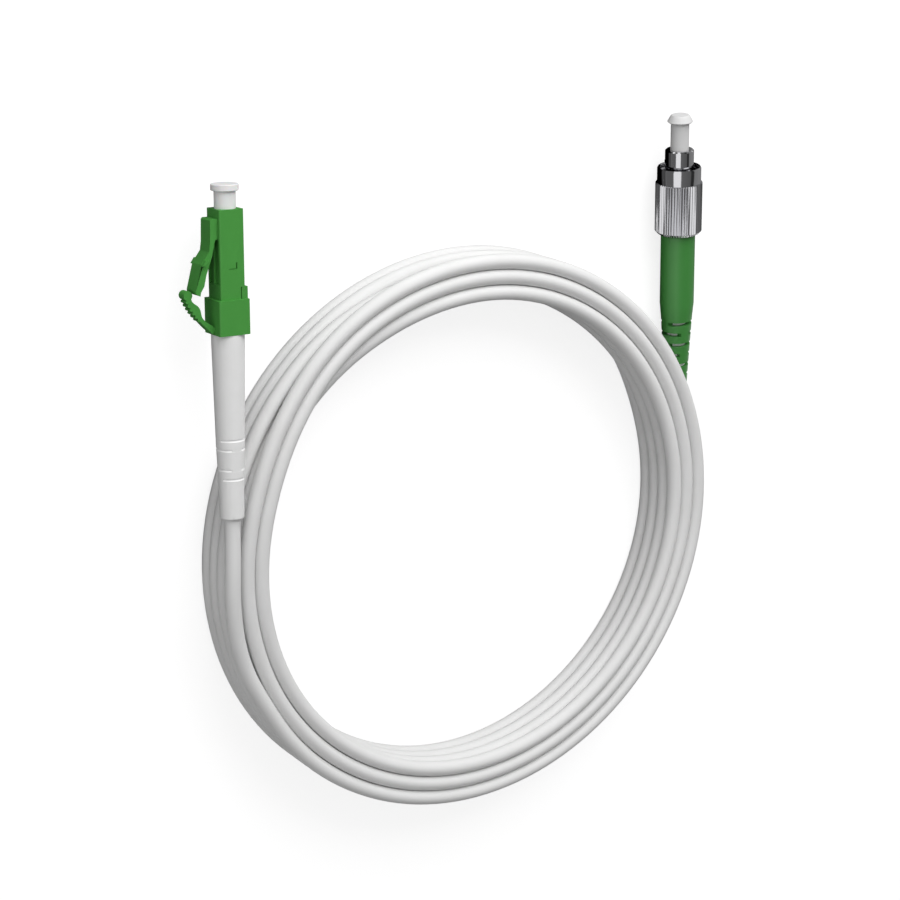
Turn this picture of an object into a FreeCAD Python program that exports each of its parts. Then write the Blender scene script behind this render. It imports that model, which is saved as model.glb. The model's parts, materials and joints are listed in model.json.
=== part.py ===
import FreeCAD, Part
import math
import os

os.makedirs("parts", exist_ok=True)

# Fibre optic patch cable, lying flat: a neat coil on the surface, a square
# push-in plug with a latch at one end and a screw-on round plug at the other.
# Millimetres. Origin at the centre of the coil's eye on the surface it lies on,
# +Z up, +Y the way both plugs point, -X the side of the square plug.

Vec = FreeCAD.Vector

# Cable and coil
cableDiameter = 2.8
strandPitch = 2.85
coilColumns = 3
coilLayers = 4
coilInnerRadius = 44.5
coilCornerRadius = 1.4
laneClearance = 0.03
bootBedClearance = 0.1
bufferDiameter = 0.9

# Straight run of each lead behind its boot and at its end of the coil's turn
leadRun = 7.0

# Where the outer top turn opens for the square plug's lead, degrees from +X
upperLaneStart = 150.0
upperLaneEnd = 205.0
# Where the outer bottom turn opens for the round plug's lead
lowerLaneStart = -24.0
lowerLaneEnd = 22.0

# Square plug: place of the boot's rear end, and a point its nose aims at
lcBootX = -51.7
lcBootY = 12.9
lcBootZ = 10.75
lcNoseX = -50.05
lcNoseY = 70.0
lcNoseZ = 7.8
lcBootEnd = Vec(lcBootX, lcBootY, lcBootZ)
lcNoseAim = Vec(lcNoseX, lcNoseY, lcNoseZ)

# Lengths along the square plug
lcBootLength = 32.4
lcRearLength = 6.0
lcFrontLength = 15.2

# Square housing
lcFrontSide = 4.6
lcRearSide = 5.8
lcFrontEdge = 0.25
lcRearEdge = 0.3
lcSpigotSide = 4.2
lcSpigotLength = 4.8
lcPocketClearance = 0.05
lcCavityRadius = 1.9
lcCavityDepth = 4.7
lcStopWall = 1.0
lcStopBore = 0.85
lcChamberRadius = 1.68

# Channel that the latch arm flexes over, on the latch side
lcChannelWidth = 3.6
lcChannelDepth = 0.35
lcChannelStart = 2.6
lcChannelLength = 7.5
lcRidgeWidth = 0.35
lcRidgeOffset = -0.2

# Catch slot with its sill line, on the upper face
lcCatchX = 0.65
lcCatchWidth = 0.25
lcCatchStart = 5.15
lcCatchLength = 1.1
lcCatchDepth = 0.3
lcSillX = -0.7
lcSillWidth = 0.12
lcSillDepth = 0.08

# Lock tab at the rear corner, with the slot beside it
lcTabLength = 2.05
lcTabHeight = 1.55
lcTabRoot = 0.6
lcTabSlotX = 1.45
lcTabSlotWidth = 0.2

# Latch arm: points (rise from the housing's side, distance behind its face)
lcArmWidth = 3.4
lcArmPivotRise = 0.3
lcArmPivotBack = 1.9
lcArmSetBack = 1.45
lcArmBlockBack = 4.95
lcArmOuterEdge = ((1.15, 1.45), (1.4, 1.7), (1.5, 5.4), (1.7, 6.9), (3.2, 8.9), (4.35, 13.3), (4.3, 13.8))
lcArmInnerEdge = ((3.5, 14.2), (3.4, 13.6), (2.75, 12.6), (2.3, 10.7), (1.2, 7.75), (0.55, 5.0))
lcLugWidth = 4.6
lcLugFront = 8.15
lcLugLength = 0.95
lcLugRise = 2.0
lcLugHeight = 0.6
lcLugRamp = 0.65

# Release lever: points (rise from the housing's side, distance from the boot's front)
lcLeverWidth = 1.9
lcLeverPivotRise = 0.1
lcLeverPivotAhead = 0.95
lcLeverKnobRise = 4.85
lcLeverKnobAhead = 7.15
lcLeverKnobRadius = 0.8
lcLeverOuterEdge = ((0.3, 0.25), (1.3, 1.1), (2.85, 2.8), (3.8, 4.0), (4.5, 5.05), (5.0, 6.1), (5.15, 6.9))
lcLeverInnerEdge = ((4.25, 6.6), (4.0, 6.0), (3.1, 5.3), (2.6, 4.5), (2.35, 3.4), (1.45, 2.35), (0.3, 1.65))
lcLeverRidges = 6
lcLeverRidgeRadius = 0.26
lcLeverFirstRidge = (5.05, 6.1)
lcLeverLastRidge = (2.85, 2.85)
lcLeverRidgeBulge = 0.17

# Knuckles of the latch arm and the lever, each in a round seat
knuckleRadius = 0.45
knuckleClearance = 0.05

# Ferrules float on springs
floatTravel = 0.8
floatGap = 0.05
ferruleFit = 0.05
flangeFlat = 0.9

lcFerruleDiameter = 1.25
lcFerruleReach = 2.2
lcFerruleLength = 8.2
lcFerruleChamfer = 0.15
lcFlangeRadius = 1.55
lcFlangeLength = 1.3
lcHubRadius = 0.95
lcHubLength = 2.8
lcSpringOuter = 1.45
lcSpringWire = 0.28
lcSpringLength = 4.6
lcSpringTurns = 7

# Stem and crimp sleeve under the square plug's boot
lcStemNeckRadius = 1.3
lcStemRear = 24.0
lcStemFlangeRadius = 1.63
lcStemHubDepth = 0.6
lcStemHubRoom = 0.15
lcStemFit = 0.02
lcSleeveInner = 1.42
lcSleeveOuter = 1.75
lcSleeveRear = 19.0
lcSleeveGap = 0.6

# Boot of the square plug
lcBootEndRadius = 2.12
lcBootEndEdge = 0.3
lcBootTailRadius = 2.18
lcBootTailStation = 6.0
lcBootWaistRadius = 2.48
lcBootWaistStation = 12.6
lcBootFrontRadius = 2.85
lcBootCollarLength = 1.6
lcBootBore = 1.5
lcBootSocket = 1.85
lcBootTopSlots = (7.2, 14.1)
lcBootSideSlots = (8.9, 12.4)
lcBootSlotWidth = 0.45
lcBootWeb = 1.8
sleeveRoom = 0.3

lcCapShaftRadius = 1.84
lcCapDepth = 4.3
lcCapNeck = 3.0
lcCapDiscRadius = 2.37
lcCapDiscThickness = 1.1
lcCapEdge = 0.1
lcCapTipRoom = 0.3

# Round plug: place of the boot's rear end, and a point on its nut's axis
fcBootX = 51.5
fcBootY = 18.0
fcBootZ = 2.25
fcNutX = 48.9
fcNutY = 54.4
fcNutZ = 4.8
fcBootEnd = Vec(fcBootX, fcBootY, fcBootZ)
fcNutAim = Vec(fcNutX, fcNutY, fcNutZ)

# Coupling nut of the round plug
fcBootLength = 33.0
fcNutGap = 0.2
fcKnurlLength = 10.0
fcCollarLength = 3.0
fcKnurlRadius = 4.5
fcCollarRadius = 4.2
fcKnurlTeeth = 54
fcKnurlDepth = 0.2
fcKnurlOpening = 0.55
fcNutThreadRadius = 3.75
fcNutLipRadius = 3.15
fcNutLipLength = 2.6
fcNutRecessDepth = 1.4
fcNutRecessRadius = 3.85
fcNutRearEdge = 0.45
fcKnurlFrontEdge = 0.15
fcCollarEdge = 0.3
fcMouthEdge = 0.2

# Barrel with its key, and the ring that holds the nut on it
fcBarrelRadius = 2.75
fcBarrelReach = 3.35
fcBarrelEdge = 0.25
fcBarrelBore = 1.85
fcBarrelBoreDepth = 6.0
fcStopWall = 1.0
fcStopBore = 1.4
fcShoulderRadius = 3.55
fcShoulderLength = 1.2
fcBodyRadius = 3.1
fcChamberRadius = 2.2
fcKeyWidth = 2.0
fcKeyHeight = 0.55
fcKeyLength = 4.0
fcKeySetBack = 2.6
fcKeyRoot = 0.4
fcRingInner = 2.72
fcRingOuter = 3.6
fcRingWidth = 0.6
fcRingGap = 70.0
fcRingInset = 0.5
fcRingClearance = 0.05
fcGrooveFit = 0.02

fcFerruleDiameter = 2.5
fcFerruleReach = 2.4
fcFerruleLength = 11.6
fcFerruleChamfer = 0.3
fcFlangeRadius = 2.05
fcFlangeLength = 1.4
fcHubRadius = 1.45
fcHubLength = 3.0
fcSpringOuter = 1.98
fcSpringWire = 0.36
fcSpringLength = 4.4
fcSpringTurns = 6

# Stem and crimp sleeve under the round plug's boot
fcStemPlugFit = 0.03
fcStemFlangeRadius = 2.95
fcStemFlangeLength = 0.7
fcStemNeckRadius = 1.7
fcStemRear = 23.5
fcStemHubDepth = 1.4
fcStemHubRoom = 0.2
fcSleeveInner = 1.8
fcSleeveOuter = 2.15
fcSleeveRear = 21.0
fcSleeveGap = 0.4

# Boot of the round plug
fcBootFrontRadius = 3.3
fcBootFrontEdge = 0.2
fcBootTaperStation = 19.0
fcBootShoulderRadius = 3.02
fcBootShoulderStation = 16.0
fcBootEndRadius = 2.15
fcBootEndEdge = 0.3
fcBootBore = 1.5
fcBootSocket = 2.25
fcBootSocketFit = 0.02
fcBootSlots = 6
fcBootFirstSlot = 15.2
fcBootSlotPitch = 2.15
fcBootSlotWidth = 0.75
fcBootWeb = 1.8

fcCapShaftRadius = 1.75
fcCapDepth = 4.6
fcCapNeck = 5.2
fcCapRimRadius = 2.43
fcCapTopRadius = 1.85
fcCapHeadLength = 1.45
fcCapFlare = 0.5
fcCapEdge = 0.2
fcCapTipRoom = 0.4


def turned(points):
    """Solid of revolution about +Y from (radius, station) points."""
    outline = Part.makePolygon([Vec(r, s, 0) for r, s in points + points[:1]])
    return Part.Face(outline).revolve(Vec(0, 0, 0), Vec(0, 1, 0), 360)


def tube(outer, inner, start, end):
    return turned([(inner, start), (outer, start), (outer, end), (inner, end)])


def rod(radius, start, end):
    return Part.makeCylinder(radius, end - start, Vec(0, start, 0), Vec(0, 1, 0))


def crossPin(radius, width, centre):
    """Pin across the plug, as wide as given."""
    return Part.makeCylinder(radius, width, centre - Vec(0, 0, width / 2.0), Vec(0, 0, 1))


def block(x0, x1, s0, s1, z0, z1):
    return Part.makeBox(x1 - x0, s1 - s0, z1 - z0, Vec(x0, s0, z0))


def squareBar(side, start, end, edge):
    half = side / 2.0
    bar = block(-half, half, start, end, -half, half)
    longEdges = [e for e in bar.Edges if abs(e.tangentAt(e.FirstParameter).y) > 0.9]
    return bar.makeFillet(edge, longEdges)


def plate(outline, width):
    """Outline of (x, station) points, as wide as given across the plug."""
    wire = Part.makePolygon([Vec(x, s, -width / 2.0) for x, s in outline + outline[:1]])
    return Part.Face(wire).extrude(Vec(0, 0, width))


def smoothPlate(outer, inner, width):
    """Plate across the plug between two smooth edges, given as (x, station) points."""
    outer, inner = [[Vec(x, s, -width / 2.0) for x, s in run] for run in (outer, inner)]
    edges = []
    for run in (outer, inner):
        curve = Part.BSplineCurve()
        curve.interpolate(run)
        edges.append(curve.toShape())
    for start, end in ((outer[-1], inner[0]), (inner[-1], outer[0])):
        edges.append(Part.LineSegment(start, end).toShape())
    wire = Part.Wire(Part.sortEdges(edges)[0])
    return Part.Face(wire).extrude(Vec(0, 0, width))


def coilSpring(outer, wire, start, end, turns):
    """Round-wire spring round the plug's axis. Each half turn is a tilted arc that
    leaves and arrives level, and the two end turns lie almost closed."""
    mean = outer - wire / 2.0
    closedPitch = wire * 1.15
    openPitch = (end - start - wire - 2 * closedPitch) / (turns - 2)
    arcs = []
    side = 1
    station = start + wire / 2.0
    for turn in range(turns):
        pitch = closedPitch if turn in (0, turns - 1) else openPitch
        for half in range(2):
            bulge = math.hypot(mean, pitch / 4)
            first = Vec(side * mean, station, 0)
            middle = Vec(0, station + pitch / 4, -side * bulge)
            last = Vec(-side * mean, station + pitch / 2, 0)
            arcs.append(Part.Arc(first, middle, last).toShape())
            station += pitch / 2
            side = -side
    section = Part.Circle(Vec(mean, start + wire / 2.0, 0), Vec(0, 0, 1), wire / 2.0).toShape()
    return Part.Wire(arcs).makePipeShell([Part.Wire([section])], True, True)


def plugPlacement(rear, aim):
    """Takes a plug drawn along +Y from the origin to its place on the surface."""
    along = (aim - rear).normalize()
    across = along.cross(Vec(0, 0, 1)).normalize()
    up = across.cross(along)
    turn = FreeCAD.Rotation(across, along, up, "XYZ")
    return FreeCAD.Placement(rear, turn)


lcPlace = plugPlacement(lcBootEnd, lcNoseAim)
fcPlace = plugPlacement(fcBootEnd, fcNutAim)
cableRadius = cableDiameter / 2.0
bufferRadius = bufferDiameter / 2.0
bufferBore = bufferRadius + 2 * ferruleFit

# Stations worked out for the square plug, from its boot's rear end
lcRearStart = lcBootLength
lcFrontStart = lcRearStart + lcRearLength
lcFaceStation = lcFrontStart + lcFrontLength
lcStopFront = lcFaceStation - lcCavityDepth
lcStopRear = lcStopFront - lcStopWall
lcSpigotRear = lcFrontStart - lcSpigotLength
lcFlangeFront = lcStopRear - floatGap
lcFlangeRear = lcFlangeFront - lcFlangeLength
lcSpringRear = lcFlangeRear - lcSpringLength
lcStemFront = lcSpringRear - floatTravel - floatGap
lcTip = lcFaceStation + lcFerruleReach
lcArmPivot = Vec(-lcFrontSide / 2.0 - lcArmPivotRise, lcFaceStation - lcArmPivotBack, 0)
lcLeverPivot = Vec(-lcRearSide / 2.0 - lcLeverPivotRise, lcRearStart + lcLeverPivotAhead, 0)

# Stations worked out for the round plug, from its boot's rear end
fcNutRear = fcBootLength + fcNutGap
fcKnurlFront = fcNutRear + fcKnurlLength
fcNutFront = fcKnurlFront + fcCollarLength
fcFaceStation = fcNutFront + fcBarrelReach
fcStopFront = fcFaceStation - fcBarrelBoreDepth
fcStopRear = fcStopFront - fcStopWall
fcLipRear = fcNutRear + fcNutRecessDepth
fcLipFront = fcLipRear + fcNutLipLength
fcRingRear = fcNutRear + fcRingInset
fcFlangeFront = fcStopRear - floatGap
fcFlangeRear = fcFlangeFront - fcFlangeLength
fcSpringRear = fcFlangeRear - fcSpringLength
fcStemFront = fcSpringRear - floatTravel - floatGap
fcStemBack = fcBootLength + floatGap
fcStemSeat = fcStemBack - fcStemFlangeLength
fcTip = fcFaceStation + fcFerruleReach


def lcHousing():
    half = lcFrontSide / 2.0
    body = squareBar(lcFrontSide, lcFrontStart, lcFaceStation, lcFrontEdge)
    body = body.fuse(squareBar(lcSpigotSide, lcSpigotRear, lcFrontStart, lcFrontEdge))
    # channel under the latch arm, with a low ridge along it
    channelRear = lcFrontStart + lcChannelStart
    channelFront = channelRear + lcChannelLength
    channel = block(-half - 1, -half + lcChannelDepth, channelRear, channelFront,
                    -lcChannelWidth / 2, lcChannelWidth / 2)
    ridge = block(-half, -half + lcChannelDepth, channelRear, channelFront,
                  lcRidgeOffset - lcRidgeWidth / 2, lcRidgeOffset + lcRidgeWidth / 2)
    body = body.cut(channel.cut(ridge))
    # catch slot on the upper face, and the sill line at its rear end
    catchRear = lcFrontStart + lcCatchStart
    catchSide = lcCatchX + lcCatchWidth
    catch = block(lcCatchX, catchSide, catchRear, catchRear + lcCatchLength, half - lcCatchDepth, half + 1)
    sill = block(lcSillX, catchSide, catchRear, catchRear + lcSillWidth, half - lcSillDepth, half + 1)
    body = body.cut([catch, sill])
    # lock tab, flush with the rear housing's side
    tab = block(half - lcTabRoot, lcRearSide / 2.0, lcFrontStart, lcFrontStart + lcTabLength,
                half - lcTabHeight - lcFrontEdge, half - lcFrontEdge)
    tabSlot = block(lcTabSlotX, lcTabSlotX + lcTabSlotWidth, lcFrontStart, lcFrontStart + lcTabLength,
                    half - lcCatchDepth, half + 1)
    body = body.fuse(tab).cut(tabSlot)
    # bores: cap cavity, ferrule stop, spring chamber
    body = body.cut(rod(lcCavityRadius, lcStopFront, lcFaceStation + 1))
    body = body.cut(rod(lcStopBore, lcStopRear - 1, lcStopFront + 1))
    body = body.cut(rod(lcChamberRadius, lcSpigotRear - 1, lcStopRear))
    seat = crossPin(knuckleRadius + knuckleClearance, lcArmWidth + 2 * knuckleClearance, lcArmPivot)
    return body.cut(seat).removeSplitter()


def lcLatchArm():
    side = -lcFrontSide / 2.0
    block = ((lcArmPivotRise, lcArmBlockBack), (lcArmPivotRise, lcArmSetBack))
    outline = lcArmOuterEdge + lcArmInnerEdge + block
    arm = plate([(side - rise, lcFaceStation - back) for rise, back in outline], lcArmWidth)
    # catching lugs: upright at the rear, ramped at the front
    lugFront = lcFaceStation - lcLugFront
    lugRear = lugFront - lcLugLength
    lugRoot = side - lcLugRise
    ramped = lugRoot - lcLugRamp
    lugs = plate([(lugRoot, lugFront), (lugRoot - lcLugHeight, lugFront),
                  (ramped - lcLugHeight, lugRear), (ramped, lugRear)], lcLugWidth)
    return arm.fuse([lugs, crossPin(knuckleRadius, lcArmWidth, lcArmPivot)]).removeSplitter()


def lcRearHousing():
    body = squareBar(lcRearSide, lcRearStart, lcFrontStart, lcRearEdge)
    pocketSide = lcSpigotSide + 2 * lcPocketClearance
    body = body.cut(squareBar(pocketSide, lcSpigotRear, lcFrontStart + 1, lcFrontEdge))
    body = body.cut(rod(lcStemNeckRadius + lcStemFit, lcRearStart - 1, lcSpigotRear + 1))
    seat = crossPin(knuckleRadius + knuckleClearance, lcLeverWidth + 2 * knuckleClearance, lcLeverPivot)
    return body.cut(seat).removeSplitter()


def lcReleaseLever():
    side = -lcRearSide / 2.0

    def place(point):
        return side - point[0], lcRearStart + point[1]

    outer = [place(point) for point in lcLeverOuterEdge]
    inner = [place(point) for point in lcLeverInnerEdge]
    lever = smoothPlate(outer, inner, lcLeverWidth)
    knob = Vec(side - lcLeverKnobRise, lcRearStart + lcLeverKnobAhead, 0)
    pieces = [crossPin(lcLeverKnobRadius, lcLeverWidth, knob),
              crossPin(knuckleRadius, lcLeverWidth, lcLeverPivot)]
    # grip ridges along the bowed outer face
    first = Vec(*place(lcLeverFirstRidge), 0)
    last = Vec(*place(lcLeverLastRidge), 0)
    outwards = (last - first).cross(Vec(0, 0, 1)).normalize()
    for i in range(lcLeverRidges):
        share = i / (lcLeverRidges - 1.0)
        at = first + (last - first) * share + outwards * (4 * lcLeverRidgeBulge * share * (1 - share))
        pieces.append(crossPin(lcLeverRidgeRadius, lcLeverWidth, at))
    return lever.fuse(pieces).removeSplitter()


def ferrule(diameter, tip, length, chamfer):
    radius = diameter / 2.0
    back = tip - length
    return turned([(0, back), (radius, back), (radius, tip - chamfer), (radius - chamfer, tip), (0, tip)])


def ferruleFlange(radius, front, length, hubRadius, hubLength, ferruleRadius, ferruleBack):
    rear = front - length
    hubRear = rear - hubLength
    body = turned([(bufferBore, hubRear), (hubRadius, hubRear), (hubRadius, rear), (radius, rear),
                   (radius, front), (ferruleRadius, front), (ferruleRadius, ferruleBack),
                   (bufferBore, ferruleBack)])
    # flats that hold the flange from turning
    flat = radius * flangeFlat
    cutter = block(flat, radius + 1, rear - 1, front + 1, -radius, radius)
    return body.cut([cutter, cutter.mirror(Vec(0, 0, 0), Vec(1, 0, 0))]).removeSplitter()


def lcFerrule():
    return ferrule(lcFerruleDiameter, lcTip, lcFerruleLength, lcFerruleChamfer)


def lcFerruleFlange():
    return ferruleFlange(lcFlangeRadius, lcFlangeFront, lcFlangeLength, lcHubRadius, lcHubLength,
                         lcFerruleDiameter / 2.0, lcTip - lcFerruleLength)


def lcSpring():
    return coilSpring(lcSpringOuter, lcSpringWire, lcSpringRear, lcFlangeRear, lcSpringTurns)


def lcStem():
    hubRoom = lcHubRadius + lcStemHubRoom
    hubReach = lcStemFront - lcStemHubDepth
    return turned([(bufferBore, lcStemRear), (lcStemNeckRadius, lcStemRear), (lcStemNeckRadius, lcSpigotRear),
                   (lcStemFlangeRadius, lcSpigotRear), (lcStemFlangeRadius, lcStemFront),
                   (hubRoom, lcStemFront), (hubRoom, hubReach), (bufferBore, hubReach)])


def lcCrimpSleeve():
    return tube(lcSleeveOuter, lcSleeveInner, lcSleeveRear, lcRearStart - lcSleeveGap)


def lcFibre():
    ferruleBack = lcTip - lcFerruleLength
    return rod(bufferRadius, lcStemRear - floatGap, ferruleBack - floatTravel - floatGap)


def lcCableEnd():
    return rod(cableRadius, 0, lcStemRear - floatGap)


def slotted(boot, stations, width, web, across):
    """Cuts ring slots from two opposite sides, leaving a web between them."""
    reach = boot.BoundBox.XMax + 1
    for station in stations:
        for side in (-1, 1):
            near, far = sorted((side * web / 2, side * reach))
            start = station - width / 2
            if across == "x":
                cutter = block(near, far, start, start + width, -reach, reach)
            else:
                cutter = block(-reach, reach, start, start + width, near, far)
            boot = boot.cut(cutter)
    return boot


def lcBoot():
    socketRear = lcSleeveRear - sleeveRoom
    boot = turned([(lcBootBore, 0), (lcBootEndRadius - lcBootEndEdge, 0), (lcBootEndRadius, lcBootEndEdge),
                   (lcBootTailRadius, lcBootTailStation), (lcBootWaistRadius, lcBootWaistStation),
                   (lcBootFrontRadius, lcBootLength - lcBootCollarLength),
                   (lcBootFrontRadius, lcBootLength), (lcBootSocket, lcBootLength),
                   (lcBootSocket, socketRear), (lcBootBore, socketRear)])
    boot = slotted(boot, lcBootTopSlots, lcBootSlotWidth, lcBootWeb, "z")
    boot = slotted(boot, lcBootSideSlots, lcBootSlotWidth, lcBootWeb, "x")
    return boot.removeSplitter()


def lcDustCap():
    inner = lcFerruleDiameter / 2.0 + ferruleFit
    rear = lcFaceStation - lcCapDepth
    neck = lcFaceStation + lcCapNeck
    top = neck + lcCapDiscThickness
    bottom = lcTip + lcCapTipRoom
    return turned([(inner, rear), (lcCapShaftRadius, rear), (lcCapShaftRadius, neck),
                   (lcCapDiscRadius - lcCapEdge, neck), (lcCapDiscRadius, neck + lcCapEdge),
                   (lcCapDiscRadius, top - lcCapEdge), (lcCapDiscRadius - lcCapEdge, top),
                   (0, top), (0, bottom), (inner, bottom)])


def fcNut():
    nut = turned([(fcNutLipRadius, fcLipRear), (fcNutRecessRadius, fcLipRear),
                  (fcNutRecessRadius, fcNutRear), (fcKnurlRadius - fcNutRearEdge, fcNutRear),
                  (fcKnurlRadius, fcNutRear + fcNutRearEdge),
                  (fcKnurlRadius, fcKnurlFront - fcKnurlFrontEdge),
                  (fcKnurlRadius - fcKnurlFrontEdge, fcKnurlFront), (fcCollarRadius, fcKnurlFront),
                  (fcCollarRadius, fcNutFront - fcCollarEdge),
                  (fcCollarRadius - fcCollarEdge / 2, fcNutFront),
                  (fcNutThreadRadius + fcMouthEdge, fcNutFront),
                  (fcNutThreadRadius, fcNutFront - fcMouthEdge),
                  (fcNutThreadRadius, fcLipFront), (fcNutLipRadius, fcLipFront)])
    # straight knurl: one groove for each tooth, cut a little past both ends
    pitch = 2 * math.pi * fcKnurlRadius / fcKnurlTeeth
    bottom = fcKnurlRadius - fcKnurlDepth
    outside = fcKnurlRadius + fcKnurlDepth
    reach = pitch * fcKnurlOpening
    groove = Part.makePolygon([Vec(bottom, 0, 0), Vec(outside, 0, reach), Vec(outside, 0, -reach),
                               Vec(bottom, 0, 0)])
    cutter = Part.Face(groove).extrude(Vec(0, fcKnurlLength + fcNutGap, 0))
    cutter.translate(Vec(0, fcNutRear - fcNutGap, 0))
    cutters = []
    for i in range(fcKnurlTeeth):
        copy = cutter.copy()
        copy.rotate(Vec(0, 0, 0), Vec(0, 1, 0), 360.0 * i / fcKnurlTeeth)
        cutters.append(copy)
    return nut.cut(cutters)


def fcBarrel():
    shoulderRear = fcLipFront + floatGap
    shoulderFront = shoulderRear + fcShoulderLength
    grooveRear = fcRingRear - fcRingClearance
    grooveFront = fcRingRear + fcRingWidth + fcRingClearance
    groove = fcRingInner - fcGrooveFit
    barrel = turned([(fcChamberRadius, fcStemBack), (fcBodyRadius, fcStemBack), (fcBodyRadius, grooveRear),
                     (groove, grooveRear), (groove, grooveFront), (fcBodyRadius, grooveFront),
                     (fcBodyRadius, shoulderRear), (fcShoulderRadius, shoulderRear),
                     (fcShoulderRadius, shoulderFront), (fcBarrelRadius, shoulderFront),
                     (fcBarrelRadius, fcFaceStation - fcBarrelEdge),
                     (fcBarrelRadius - fcBarrelEdge, fcFaceStation),
                     (fcBarrelBore, fcFaceStation), (fcBarrelBore, fcStopFront),
                     (fcStopBore, fcStopFront), (fcStopBore, fcStopRear),
                     (fcChamberRadius, fcStopRear)])
    keyFront = fcFaceStation - fcKeySetBack
    key = block(-fcKeyWidth / 2, fcKeyWidth / 2, keyFront - fcKeyLength, keyFront,
                -fcBarrelRadius - fcKeyHeight, -fcBarrelRadius + fcKeyRoot)
    return barrel.fuse(key).removeSplitter()


def fcRetainingRing():
    ring = tube(fcRingOuter, fcRingInner, fcRingRear, fcRingRear + fcRingWidth)
    gap = math.radians(fcRingGap / 2.0)
    reach = fcRingOuter * 2
    corners = [Vec(0, fcRingRear, 0), Vec(reach * math.cos(gap), fcRingRear, reach * math.sin(gap)),
               Vec(reach * math.cos(gap), fcRingRear, -reach * math.sin(gap)), Vec(0, fcRingRear, 0)]
    return ring.cut(Part.Face(Part.makePolygon(corners)).extrude(Vec(0, fcRingWidth, 0)))


def fcFerrule():
    return ferrule(fcFerruleDiameter, fcTip, fcFerruleLength, fcFerruleChamfer)


def fcFerruleFlange():
    return ferruleFlange(fcFlangeRadius, fcFlangeFront, fcFlangeLength, fcHubRadius, fcHubLength,
                         fcFerruleDiameter / 2.0, fcTip - fcFerruleLength)


def fcSpring():
    return coilSpring(fcSpringOuter, fcSpringWire, fcSpringRear, fcFlangeRear, fcSpringTurns)


def fcStem():
    plugRadius = fcChamberRadius - fcStemPlugFit
    hubRoom = fcHubRadius + fcStemHubRoom
    hubReach = fcStemFront - fcStemHubDepth
    return turned([(bufferBore, fcStemRear), (fcStemNeckRadius, fcStemRear), (fcStemNeckRadius, fcStemSeat),
                   (fcStemFlangeRadius, fcStemSeat), (fcStemFlangeRadius, fcStemBack),
                   (plugRadius, fcStemBack), (plugRadius, fcStemFront),
                   (hubRoom, fcStemFront), (hubRoom, hubReach), (bufferBore, hubReach)])


def fcCrimpSleeve():
    return tube(fcSleeveOuter, fcSleeveInner, fcSleeveRear, fcStemSeat - fcSleeveGap)


def fcFibre():
    ferruleBack = fcTip - fcFerruleLength
    return rod(bufferRadius, fcStemRear - floatGap, ferruleBack - floatTravel - floatGap)


def fcCableEnd():
    return rod(cableRadius, 0, fcStemRear - floatGap)


def fcBoot():
    socketRear = fcSleeveRear - sleeveRoom
    mouth = fcStemFlangeRadius + fcBootSocketFit
    boot = turned([(fcBootBore, 0), (fcBootEndRadius - fcBootEndEdge, 0), (fcBootEndRadius, fcBootEndEdge),
                   (fcBootShoulderRadius, fcBootShoulderStation), (fcBootFrontRadius, fcBootTaperStation),
                   (fcBootFrontRadius, fcBootLength - fcBootFrontEdge),
                   (fcBootFrontRadius - fcBootFrontEdge, fcBootLength), (mouth, fcBootLength),
                   (mouth, fcStemSeat), (fcBootSocket, fcStemSeat),
                   (fcBootSocket, socketRear), (fcBootBore, socketRear)])
    stations = [fcBootFirstSlot - i * fcBootSlotPitch for i in range(fcBootSlots)]
    boot = slotted(boot, stations[0::2], fcBootSlotWidth, fcBootWeb, "z")
    boot = slotted(boot, stations[1::2], fcBootSlotWidth, fcBootWeb, "x")
    return boot.removeSplitter()


def fcDustCap():
    inner = fcFerruleDiameter / 2.0 + ferruleFit
    rear = fcFaceStation - fcCapDepth
    neck = fcFaceStation + fcCapNeck
    top = neck + fcCapHeadLength
    bottom = fcTip + fcCapTipRoom
    return turned([(inner, rear), (fcCapShaftRadius, rear), (fcCapShaftRadius, neck + fcCapFlare),
                   (fcCapRimRadius - fcCapEdge, neck), (fcCapRimRadius, neck + fcCapEdge),
                   (fcCapTopRadius, top - fcCapEdge), (fcCapTopRadius - fcCapEdge, top),
                   (0, top), (0, bottom), (inner, bottom)])


# Coil: one closed ring with the outline of three columns by four layers of turns
coilOuterRadius = coilInnerRadius + cableDiameter + (coilColumns - 1) * strandPitch
coilHeight = cableDiameter + (coilLayers - 1) * strandPitch
outerTurnRadius = coilOuterRadius - cableRadius
topTurnHeight = coilHeight - cableRadius
bottomTurnHeight = cableRadius
leadLift = 0.01


def onTurn(angle, height):
    a = math.radians(angle)
    return Vec(outerTurnRadius * math.cos(a), outerTurnRadius * math.sin(a), height)


def turnHeading(angle):
    a = math.radians(angle)
    return Vec(-math.sin(a), math.cos(a), 0)


# Routes of the two leads, from the boots to the coil's last turns
lcAlong = (lcNoseAim - lcBootEnd).normalize()
lcTurnEnd = onTurn(upperLaneEnd, topTurnHeight)
lcRoute = [lcBootEnd, lcBootEnd - lcAlong * leadRun, Vec(-52.2, -1.2, 11.1), Vec(-51.5, -8.6, 10.5),
           lcTurnEnd - turnHeading(upperLaneEnd) * leadRun, lcTurnEnd]
fcAlong = (fcNutAim - fcBootEnd).normalize()
fcTurnEnd = onTurn(lowerLaneStart, bottomTurnHeight + leadLift)
fcRoute = [fcBootEnd, fcBootEnd - fcAlong * leadRun, Vec(52.1, 3.8, 1.45), Vec(51.65, -3.8, 1.41),
           fcTurnEnd + turnHeading(lowerLaneStart) * leadRun, fcTurnEnd]


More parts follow.
